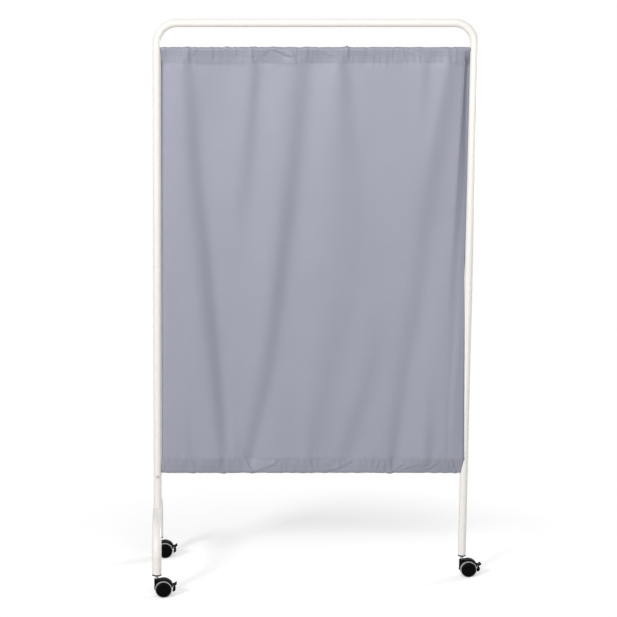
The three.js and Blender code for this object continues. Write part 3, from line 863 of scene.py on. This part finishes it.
# how strong they all are, at the same steps
fold_strengths = (2.5, 2.8, 3.5, 3.8, 3.6)
# each band is made up for by the cloth coming forward again over this share
return_share = 0.11

# The panel's last stretch at the right, at equal steps from the top seam down. It
# turns at its start, its valley and its ridge and ends at its edge: how far each
# stands from the panel's middle, how far behind the rods' plane, and each turn's size.
side_places = (
    (0.4385, 0.4363, 0.4314, 0.4265, 0.4218, 0.4159, 0.412, 0.4115, 0.408, 0.4059, 0.4085),
    (0.445, 0.443, 0.44, 0.4357, 0.4348, 0.4322, 0.4279, 0.4255, 0.4189, 0.4169, 0.4186),
    (0.4513, 0.4496, 0.4524, 0.45, 0.443, 0.4429, 0.4413, 0.4402, 0.4335, 0.4271, 0.4245),
)
side_depths = (
    (-0.005, -0.005, -0.005, -0.005, -0.006, -0.01, -0.014, -0.0155, -0.0164, -0.0175, -0.017),
    (0.0075, 0.0062, 0.0036, 0.0024, 0.0024, -0.0027, -0.0092, -0.0127, -0.0151, -0.0159, -0.0145),
    (0.0165, 0.0155, 0.0155, 0.0117, 0.0065, -0.0014, -0.0099, -0.0149, -0.018, -0.0184, -0.016),
    (0.0178, 0.0175, 0.017, 0.0155, 0.0125, 0.0045, -0.006, -0.0094, -0.0108, -0.0117, -0.0122),
)
side_turns = (0.0008, 0.0008, 0.0008, 0.0012, 0.002, 0.003, 0.003, 0.003, 0.003, 0.0025, 0.002)
# the same places as shares of the columns, and the columns between them
side_stops = (0.91, 0.974, 0.982, 0.99, 1)
side_columns = (12, 4, 4, 5)
# over how much the panel comes forward to its start, and how its left edge is tucked in
lead_width = 0.16
left_tuck = 0.007
left_width = 0.006
# how far before the rods' plane the panel is sewn to its top and bottom casings,
# where the right side's depths are taken from, and how far the top's middle bows
# forward and its ends back
panel_fronts = (0.0061, 0.0091)
side_front = 0.0085
top_bow = 0.005

# The casings' creases in millimetres: from and to, each as across from the panel's
# middle and in from the casing's outer edge, then depth and width. A negative depth
# turns the cloth away to the left.
per_metre = 1000
top_creases = [
    (-444, 3, -443, 45, 1.2, 3.0), (-423, 6, -424, 24, 0.7, 3.0), (-399, 3, -397, 26, 1.2, 3.0),
    (-372, 2, -373, 27, 2.2, 4.5), (-351, 3, -356, 23, 1.4, 3.0), (-303, 5, -303, 27, 2.1, 3.6),
    (-234, 4, -234, 20, 1.3, 3.0), (-184, 3, -186, 24, 2.0, 3.5), (-186, 24, -178, 46, 1.5, 3.5),
    (-155, 26, -139, 11, 1.0, 3.0), (-126, 8, -78, 27, -2.2, 3.0), (-71, 2, -63, 24, 1.2, 3.0),
    (-55, 3, -56, 46, 1.6, 3.2), (-23, 2, -20, 23, 1.9, 3.2), (-13, 3, -7, 23, 1.0, 2.5),
    (31, 9, 52, 20, 1.7, 3.0), (52, 20, 72, 44, 1.5, 3.5), (98, 2, 98, 26, 2.4, 3.8),
    (82, 30, 88, 42, 0.8, 2.5), (146, 6, 173, 24, 0.9, 3.0), (230, 11, 227, 27, 1.0, 3.0),
    (258, 3, 263, 26, 1.5, 3.0), (270, 6, 303, 20, 0.8, 3.0), (308, 21, 312, 39, 0.7, 3.0),
    (341, 9, 343, 30, 0.6, 4.0), (417, 6, 416, 42, 1.0, 3.0),
]
bottom_creases = [
    (-448, 27, -450, 15, 1.4, 4.0), (-364, 45, -356, 4, 1.5, 3.0), (-334, 21, -320, 9, 0.7, 3.0),
    (-284, 30, -261, 4, 2.1, 3.0), (-245, 24, -248, 12, 0.8, 4.0), (-218, 48, -217, 9, 0.8, 3.0),
    (-199, 44, -177, 3, 3.0, 3.0), (-175, 4, -117, 26, 1.4, 3.2), (-117, 26, -103, 39, 1.1, 3.5),
    (-62, 39, -48, 32, 0.8, 2.5), (-46, 30, -46, 7, 0.8, 2.5), (2, 35, 10, 7, 1.7, 3.5),
    (123, 35, 81, 15, 1.9, 3.0), (81, 15, 55, 9, 1.4, 3.0), (205, 33, 200, 12, 1.4, 3.0),
    (226, 24, 224, 4, 1.5, 4.0), (244, 45, 244, 15, 1.8, 4.5), (280, 27, 252, 7, 1.7, 2.6),
    (332, 30, 278, 12, 1.9, 2.8), (355, 29, 308, 12, 1.4, 2.8), (380, 29, 358, 12, 2.0, 3.0),
    (347, 15, 325, 7, 0.9, 2.5), (432, 48, 435, 26, 2.0, 2.6), (435, 26, 446, 4, 2.8, 2.4),
    (435, 26, 427, 6, 1.6, 2.4), (421, 48, 421, 15, 1.2, 2.6),
]
# and where they push the cloth out past its rod: across, how far, and how wide
top_puckers = [(-261, 2.4, 7), (-178, 1.8, 5), (-19, 1.8, 6), (94, 2.0, 6), (310, 0.8, 9)]
bottom_puckers = [(-268, 1.8, 7), (-175, 1.2, 6), (240, 2.2, 11), (-20, 0.8, 12)]
# how many of its widths a crease fades over
crease_spread = 2.6

# The unevenness of the cloth, as how deep it goes and its noise, which is a scale
# across, a seed and a scale down: softly on the panel, gathered in the casings, and
# puckered beside the seams
soft_depth = 0.0009
soft_noise = (13, 3.7, 2.2)
gather_depth = 0.0012
gather_noise = (85, 11.3, 14)
pucker_depth = 0.0005
pucker_noise = (190, 23.1, 30)
# how much more the casings' flat parts gather, how far the puckers reach from a
# seam, and how far the creases and gathers run on into the panel
flat_share = 1.5
seam_fade = 0.005
seam_reach = 0.024


def eased(share):
    return share * share * (3 - 2 * share)


def strip_rows():
    """The strip's middle line in order: y, z, and 1 in front, -1 behind, 0 for the panel."""
    rows = []

    def line(start, end, kind):
        count = max(1, round(math.dist(start, end) / row_steps[kind]))
        for share in np.linspace(0, 1, count, endpoint=False):
            rows.append((*(Vector(start).lerp(Vector(end), share)), kind))

    def header(y, start, end, kind):
        """The flat part of a casing, with close rows beside its two seams."""
        dip = math.copysign(seam_dip, end - start)
        for low, high in ((start, start + dip), (start + dip, end - dip), (end - dip, end)):
            line((y, low), (y, high), kind)

    def pocket(start, rod, first, end):
        """The part of a casing round its rod, which the cloth meets at two tangents."""
        side = math.cos(first)
        past = []
        for place, off in ((start, side * start[0]), (end, -side * end[0])):
            drop = abs(rod - place[1])
            past.append(math.atan2(drop, off) - math.acos(wrap_radius / math.hypot(off, drop)))
        ends = (first - past[0], first + math.pi + past[1])
        ring = arc(0, rod, wrap_radius, *ends, wrap_steps + 1)
        into, out = (-1, 1) if first == 0 else (1, -1)
        line(start, ring[0], into)
        rows.extend((y, z, 1 if y < 0 else -1) for y, z in ring[:-1])
        line(ring[-1], end, out)

    top, low = (-front for front in panel_fronts)
    header(top + flap_gap, top_seam, top_pocket, -1)
    pocket((top + flap_gap, top_pocket), rod_height("top"), 0, (top, top_pocket))
    header(top, top_pocket, top_seam, 1)
    line((top, top_seam), (low, low_seam), 0)
    header(low, low_seam, low_pocket, 1)
    pocket((low, low_pocket), rod_height("bottom"), math.pi, (low + flap_gap, low_pocket))
    header(low + flap_gap, low_pocket, low_seam, -1)
    rows.append((low + flap_gap, low_seam, -1))
    return np.array(rows)


def column_shares():
    """The columns as shares of the width: closer at the right side, and all halved."""
    counts = (round(side_stops[0] * 2 * cloth_half / column_step), *side_columns)
    spans = zip((0, *side_stops), side_stops, counts)
    parts = [np.linspace(start, end, count, endpoint=False) for start, end, count in spans]
    coarse = np.concatenate([*parts, [1]])
    halves = (coarse[1:] + coarse[:-1]) / 2
    return np.sort(np.concatenate([coarse, halves]))


def down_panel(fall, values):
    """Each row's value, on a smooth curve through a table's at equal steps down."""
    values = np.array(values, dtype=float)
    stations = np.linspace(0, 1, len(values))
    tangents = np.gradient(values, stations)
    spot = np.clip(np.searchsorted(stations, fall) - 1, 0, len(stations) - 2)
    gap = stations[spot + 1] - stations[spot]
    share = np.clip((fall - stations[spot]) / gap, 0, 1)
    rise = values[spot + 1] - values[spot]
    start_bend = (1 - share) * (tangents[spot] * gap - rise)
    end_bend = share * (rise - tangents[spot + 1] * gap)
    curve = values[spot] + rise * share + share * (1 - share) * (start_bend + end_bend)
    return curve[:, None]


def fold_depths(across, fall):
    """How far back the folds put each point, summed up from their slopes."""
    shares = (across / cloth_half + 1) / 2
    slopes = np.zeros(across.shape)
    for fold in folds:
        place, slope, left, right = (down_panel(fall, values) for values in fold)
        off = shares - place
        band = np.exp(-((off / np.where(off < 0, left, right)) ** 2))
        back_again = (left + right) / 2 / return_share * np.exp(-((off / return_share) ** 2))
        slopes += slope * (band - back_again)
    steps = np.diff(across, prepend=across[:, :1])
    return down_panel(fall, fold_strengths) * np.cumsum(slopes * steps, axis=1)


def crease_depths(across, inward, creases):
    """The creases' depths: each turns the cloth away to one side, then lets it back."""
    depth = np.zeros(across.shape)
    for x0, h0, x1, h1, *sizes in creases:
        deep, wide = (size / per_metre for size in sizes)
        along = np.array([x1 - x0, h1 - h0]) / per_metre
        length = math.hypot(*along)
        right = np.array([abs(along[1]), -math.copysign(along[0], along[1] * along[0])]) / length
        off_x, off_h = across - x0 / per_metre, inward - h0 / per_metre
        share = np.clip((off_x * along[0] + off_h * along[1]) / length**2, 0, 1)
        near_x, near_h = off_x - share * along[0], off_h - share * along[1]
        away = np.hypot(near_x, near_h) / wide
        to_right = (near_x * right[0] + near_h * right[1]) / wide
        depth += deep * np.tanh(to_right) * np.exp(-((away / crease_spread) ** 2))
    return depth


def pucker_heights(across, puckers):
    """How far the cloth stands off its rod where a crease pushes it up."""
    height = np.zeros(across.shape)
    for place, high, wide in np.array(puckers) / per_metre:
        height += high * np.exp(-(((across - place) / wide) ** 2))
    return height


def noise_field(across, height, scale_across, seed, scale_down):
    field = np.empty(across.shape)
    for at, (x, z) in enumerate(zip(across.flat, height.flat)):
        field.flat[at] = noise.noise(Vector((x * scale_across, seed, z * scale_down)))
    return field


def beside_upright(depth):
    """How far across the cloth reaches at a depth: to the upright, or past it."""
    free = hoop_radius + upright_gap
    taken = np.sqrt(np.clip(free**2 - depth**2, 0, None))
    return np.minimum(upright_reach - taken, edge_reach)


def right_side(across, depth, places, depths, turns):
    """Leads each row forward to its start, then turns it through its valley and ridge."""
    result = np.empty(depth.shape)
    for row, at in enumerate(across):
        start = places[row][0]
        lead = eased(np.clip((at - start + lead_width) / lead_width, 0, 1))
        led = depth[row] + lead * (depths[row][0] - np.interp(start, at, depth[row]))
        led = np.where(at > start, depths[row][0], led)
        slopes = np.diff(depths[row]) / np.diff(places[row])
        for place, bend in zip(places[row], np.diff(slopes, prepend=0)):
            led = led + bend * turns[row] * np.logaddexp(0, (at - place) / turns[row])
        result[row] = led
    return result


def cloth_grid():
    """Every row's points at every column, and the rows."""
    rows = strip_rows()
    shares = column_shares()
    y_line, z_line, kind = rows.T[:, :, None]
    top_rod, low_rod = rod_height("top"), rod_height("bottom")
    fall = np.clip((top_seam - rows[:, 1]) / (top_seam - low_seam), 0, 1)
    from_top = (top_rod - z_line) / (top_rod - top_seam)
    from_low = (z_line - low_rod) / (low_seam - low_rod)
    freed = np.clip(np.minimum(from_top, from_low), 0, 1)
    depths = np.hstack([down_panel(fall, values) for values in side_depths]) + side_front
    tucked = np.where(kind < 0, fold_in, 0)
    left = tucked - beside_upright(y_line + left_tuck * freed)
    right = beside_upright(y_line + depths[:, -1:] * freed) - tucked
    places = np.hstack([*(down_panel(fall, values) for values in side_places), right])
    base = np.full(left.shape, (side_stops[0] * 2 - 1) * cloth_half)
    marks = np.hstack([left, base, places])
    across = np.array([np.interp(shares, (0, *side_stops), row) for row in marks])
    depth = fold_depths(across, fall) + left_tuck * np.exp((left - across) / left_width)
    depth -= top_bow * (1 - fall)[:, None] * (1 - 2 * (across / cloth_half) ** 2)
    depth = right_side(across, depth, places, depths, down_panel(fall, side_turns)[:, 0])
    depth = y_line + depth * freed
    soft = noise_field(across, np.broadcast_to(z_line, across.shape), *soft_noise)
    depth += np.where(kind == 0, soft_depth * soft, 0)
    return creased(rows, across, depth), rows


def creased(rows, across, depth):
    """The grid's points, with the creases, puckers and gathers of both casings."""
    y_line, z_line, kind = rows.T[:, :, None]
    slope = np.gradient(rows[:, :2], axis=0)
    slope /= np.linalg.norm(slope, axis=1)[:, None]
    out_y, out_z = slope[:, 1:], -slope[:, :1]
    height = np.broadcast_to(z_line, across.shape)
    upper = z_line > (top_seam + low_seam) / 2
    top_cut = crease_depths(across, cloth_top - height, top_creases)
    low_cut = crease_depths(across, height - cloth_bottom, bottom_creases)
    cut = np.where(upper, top_cut, low_cut)
    top_push, low_push = (pucker_heights(across, each) for each in (top_puckers, bottom_puckers))
    pushed = np.where(upper, top_push, low_push)
    gather = noise_field(across, height, *gather_noise) * gather_depth
    off_seam = np.min([abs(z_line - seam) for seam in seam_heights], axis=0)
    fine = noise_field(across, height, *pucker_noise) * pucker_depth
    fine = fine * np.exp(-off_seam / seam_fade)
    flat_part = (kind != 0) & (z_line <= top_pocket) & (z_line >= low_pocket)
    round_part = (kind != 0) & ~flat_part
    past_rod = np.where(upper, z_line - rod_height("top"), rod_height("bottom") - z_line)
    pushed = pushed * np.clip(past_rod, 0, None) / wrap_radius
    proud = gather - np.where(kind > 0, cut, 0) + pushed
    room = np.minimum(np.abs(y_line) + cloth_thickness / 2, rod_slack)
    proud = np.where(round_part, np.maximum(proud + fine, -room), 0)
    near_seam = np.where(kind == 0, np.clip(1 - off_seam / seam_reach, 0, 1), flat_part)
    inward = fine * ~round_part + (cut - gather * flat_share) * near_seam
    points = [across + middle_x, depth + inward + out_y * proud, height + out_z * proud]
    return np.stack(points, axis=-1)


def cloth_faces(rows, columns):
    """Faces of the grid. The panel's rows keep every second column."""
    fine = rows[:, 2] != 0
    keep = np.zeros((len(rows), columns), dtype=bool)
    keep[fine] = True
    keep[:, ::2] = True
    index = np.cumsum(keep.ravel()).reshape(keep.shape) - 1
    faces = []
    for row in range(len(rows) - 1):
        above, below = index[row], index[row + 1]
        if fine[row] and fine[row + 1]:
            for at in range(columns - 1):
                faces.append((above[at], below[at], below[at + 1], above[at + 1]))
            continue
        for at in range(0, columns - 1, 2):
            left, right = (above[at], below[at]), (below[at + 2], above[at + 2])
            low = (below[at + 1],) if fine[row + 1] else ()
            high = (above[at + 1],) if fine[row] else ()
            faces.append((*left, *low, *right, *high))
    return keep, faces


def uv_by_length(mesh, points, keep):
    """A UV map in metres, so that the weave keeps its size in every fold."""
    across = np.zeros(points.shape[:2])
    down = np.zeros(points.shape[:2])
    across[:, 1:] = np.cumsum(np.linalg.norm(np.diff(points, axis=1), axis=2), axis=1)
    down[1:, :] = np.cumsum(np.linalg.norm(np.diff(points, axis=0), axis=2), axis=0)
    places = np.stack([across, down], axis=-1)[keep]
    layer = mesh.uv_layers.new(name="cloth_metres")
    corners = np.zeros(len(mesh.loops), dtype=np.int32)
    mesh.loops.foreach_get("vertex_index", corners)
    layer.data.foreach_set("uv", places[corners].ravel())


def cloth(look):
    points, rows = cloth_grid()
    keep, faces = cloth_faces(rows, points.shape[1])
    mesh = mesh_of("cloth", points[keep], faces)
    uv_by_length(mesh, points, keep)
    # the rows where the cloth lies doubled, which its material paints darker as painted shade
    layers = mesh.attributes.new("doubled", "FLOAT", "POINT")
    doubled = np.broadcast_to(abs(rows[:, 2:3]), keep.shape)
    layers.data.foreach_set("value", doubled[keep])
    mesh.shade_smooth()
    sheet = piece("cloth", mesh, look, ["curtain"])
    solid = sheet.modifiers.new("thickness", "SOLIDIFY")
    solid.thickness = cloth_thickness
    solid.offset = 0
    return sheet, points, rows


# The stitches, made along a seam by a tree of geometry nodes


def stitch_tree(material):
    tree = bpy.data.node_groups.new("stitches", "GeometryNodeTree")
    for way in ("INPUT", "OUTPUT"):
        tree.interface.new_socket("Geometry", in_out=way, socket_type="NodeSocketGeometry")
    for name in stitch_sizes:
        tree.interface.new_socket(name, in_out="INPUT", socket_type="NodeSocketFloat")
    add = tree.nodes.new
    entry, leave = add("NodeGroupInput"), add("NodeGroupOutput")
    curve = add("GeometryNodeMeshToCurve")
    spaced = add("GeometryNodeResampleCurve")
    spaced.mode = "LENGTH"
    stitch = add("GeometryNodeMeshCylinder")
    stitch.inputs["Vertices"].default_value = thread_sides
    instance = add("GeometryNodeInstanceOnPoints")
    tangent = add("GeometryNodeInputTangent")
    turn = add("FunctionNodeAlignRotationToVector")
    turn.axis = "Z"
    real = add("GeometryNodeRealizeInstances")
    finish = add("GeometryNodeSetMaterial")
    finish.inputs["Material"].default_value = material
    joins = [
        (entry, "Geometry", curve, "Mesh"),
        (curve, "Curve", spaced, "Curve"),
        (entry, "Pitch", spaced, "Length"),
        (entry, "Stitch length", stitch, "Depth"),
        (entry, "Thread radius", stitch, "Radius"),
        (spaced, "Curve", instance, "Points"),
        (stitch, "Mesh", instance, "Instance"),
        (tangent, "Tangent", turn, "Vector"),
        (turn, "Rotation", instance, "Rotation"),
        (instance, "Instances", real, "Geometry"),
        (real, "Geometry", finish, "Geometry"),
        (finish, "Geometry", leave, "Geometry"),
    ]
    for source, given, target, taken in joins:
        tree.links.new(source.outputs[given], target.inputs[taken])
    return tree


def seam_lines(points, rows):
    """The seams' lines on the cloth, front and back, a little proud of it."""
    lines = []
    for height in seam_heights:
        for side in (-1, 1):
            off = abs(rows[:, 1] - height) + (rows[:, 2] * side > 0)
            line = points[np.argmin(off)].copy()
            line[:, 1] += side * (cloth_thickness / 2 + thread_radius / 2)
            lines.append(line[1:-1])
    return lines


def stitches(points, rows, look):
    places, edges = [], []
    for line in seam_lines(points, rows):
        first = len(places)
        places += [tuple(place) for place in line]
        edges += [(at, at + 1) for at in range(first, len(places) - 1)]
    mesh = bpy.data.meshes.new("seams")
    mesh.from_pydata(places, edges, [])
    holder = in_scene("seams", mesh)
    modifier = holder.modifiers.new("stitches", "NODES")
    modifier.node_group = stitch_tree(look[0])
    for socket in modifier.node_group.interface.items_tree:
        if socket.name in stitch_sizes:
            modifier[socket.identifier] = stitch_sizes[socket.name]
    made = as_shown(holder)
    made.shade_smooth()
    return piece("stitches", made, look)


# What the CAD nodes that still show are made of


def finish_cad_nodes(paint, bright):
    for name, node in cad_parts.items():
        if node.hide_render:
            continue
        look = paint if name.startswith("curtain_rod") else bright
        node.data.materials.clear()
        node.data.materials.append(look[0])


# The stage

# the floor's half width and greys, how far out it shows the object's shadow, and
# over how much that fades
floor_half = 12.0
floor_grey = 0.72
near_grey = 0.8
near_glow = 0.4
shadow_reach = 0.62
shadow_fade = 0.5
# how much of the white world's light the object gets
world_share = 0.38
# each lamp's name, place, size and power, and how far across it aims
lamps = [
    ("key", (-6.6, -9.9, 6.4), 2.7, 865, middle_x),
    ("top", (0.1, -2.1, 2.35), 1.0, 16, middle_x),
    ("side", (4.2, 2.6, 1.3), 1.0, 105, upright_reach),
]
lamp_aim = 1.0
# the camera's sensor and lens in millimetres, its shift, range, place and tilt
camera_sensor = 36.0
camera_lens = 102.406
camera_shift = 0.2003
camera_range = 100.0
camera_place = (-0.40831, -5.23884, 1.64352)
camera_tilt = 0.1528


def emptied(owner):
    """A wire into a material's or a world's nodes, with none left in them."""
    owner.use_nodes = True
    owner.node_tree.nodes.clear()
    return Wire(owner.node_tree)


def floor_material():
    """A pale floor that looks white to the camera, but for the shadow round the object."""
    material = bpy.data.materials.new("pale_floor")
    wire = emptied(material)
    plain = wire.node("ShaderNodeBsdfDiffuse", {"Color": grey(floor_grey)})
    shaded = wire.node("ShaderNodeBsdfDiffuse", {"Color": grey(near_grey)})
    glow = wire.node("ShaderNodeEmission", {"Color": grey(1.0), "Strength": near_glow})
    near = wire.node("ShaderNodeAddShader", {0: shaded, 1: glow})
    far = wire.node("ShaderNodeEmission", {"Color": grey(1.0), "Strength": 1.0})
    away = wire.node("ShaderNodeVectorMath", {0: object_point(wire)}, 1, operation="LENGTH")
    beyond = wire.maths("MINIMUM", wire.maths("MAXIMUM", away - shadow_reach, 0.0), shadow_fade)
    seen = wire.node("ShaderNodeMixShader", {0: beyond * (1 / shadow_fade), 1: near, 2: far})
    ray = wire.node("ShaderNodeLightPath")
    surface = wire.node("ShaderNodeMixShader", {0: ray, 1: plain, 2: seen})
    link(surface, wire.tree.nodes.new("ShaderNodeOutputMaterial"), "Surface")
    return material


def lay_floor():
    corners = [(-floor_half, -floor_half, 0), (floor_half, -floor_half, 0)]
    corners += [(floor_half, floor_half, 0), (-floor_half, floor_half, 0)]
    ground = in_scene("floor", mesh_of("floor", corners, [(0, 1, 2, 3)]))
    ground.data.materials.append(floor_material())


def white_world():
    """A world that looks white, and lights the object with a share of that."""
    world = bpy.data.worlds.new("studio")
    bpy.context.scene.world = world
    wire = emptied(world)
    path = wire.node("ShaderNodeLightPath")
    glossy, through = path.beside("Is Glossy Ray"), path.beside("Is Transmission Ray")
    shown = wire.maths("MAXIMUM", path, wire.maths("MAXIMUM", glossy, through))
    strength = world_share + shown * (1 - world_share)
    light = wire.node("ShaderNodeBackground", {"Color": grey(1.0), "Strength": strength})
    link(light, wire.tree.nodes.new("ShaderNodeOutputWorld"), "Surface")


def light_up():
    for name, place, size, power, aim in lamps:
        light = bpy.data.lights.new(name, "AREA")
        light.shape = "DISK"
        light.size = size
        light.energy = power
        made = in_scene(name, light)
        made.location = place
        way = Vector((aim, 0, lamp_aim)) - Vector(place)
        made.rotation_euler = way.to_track_quat("-Z", "Y").to_euler()


def camera():
    lens = bpy.data.cameras.new("camera")
    lens.sensor_width = camera_sensor
    lens.lens = camera_lens
    lens.shift_x = camera_shift
    lens.clip_end = camera_range
    made = in_scene("camera", lens)
    made.location = camera_place
    made.rotation_euler = (quarter - camera_tilt, 0, 0)
    bpy.context.scene.camera = made


def dress():
    paint = (cream_powder_coat(), "cream_paint")
    fabric = (grey_cloth(), "grey_cloth")
    thread = (seam_thread(), "grey_cloth")
    plastic = (black_plastic(), "black_plastic")
    tread = (grey_tread(), "grey_tread")
    bright = (turned_steel("bright_steel", (0.72, 0.72, 0.73), 0.28), "bright_steel")
    camera()
    hoop(paint)
    foot(paint)
    screws(bright)
    place_castors(plastic, tread, bright)
    sheet, points, rows = cloth(fabric)
    seams = stitches(points, rows, thread)
    finish_cad_nodes(paint, bright)
    lay_floor()
    white_world()
    light_up()
    bpy.context.scene.view_settings.view_transform = "Standard"


dress()
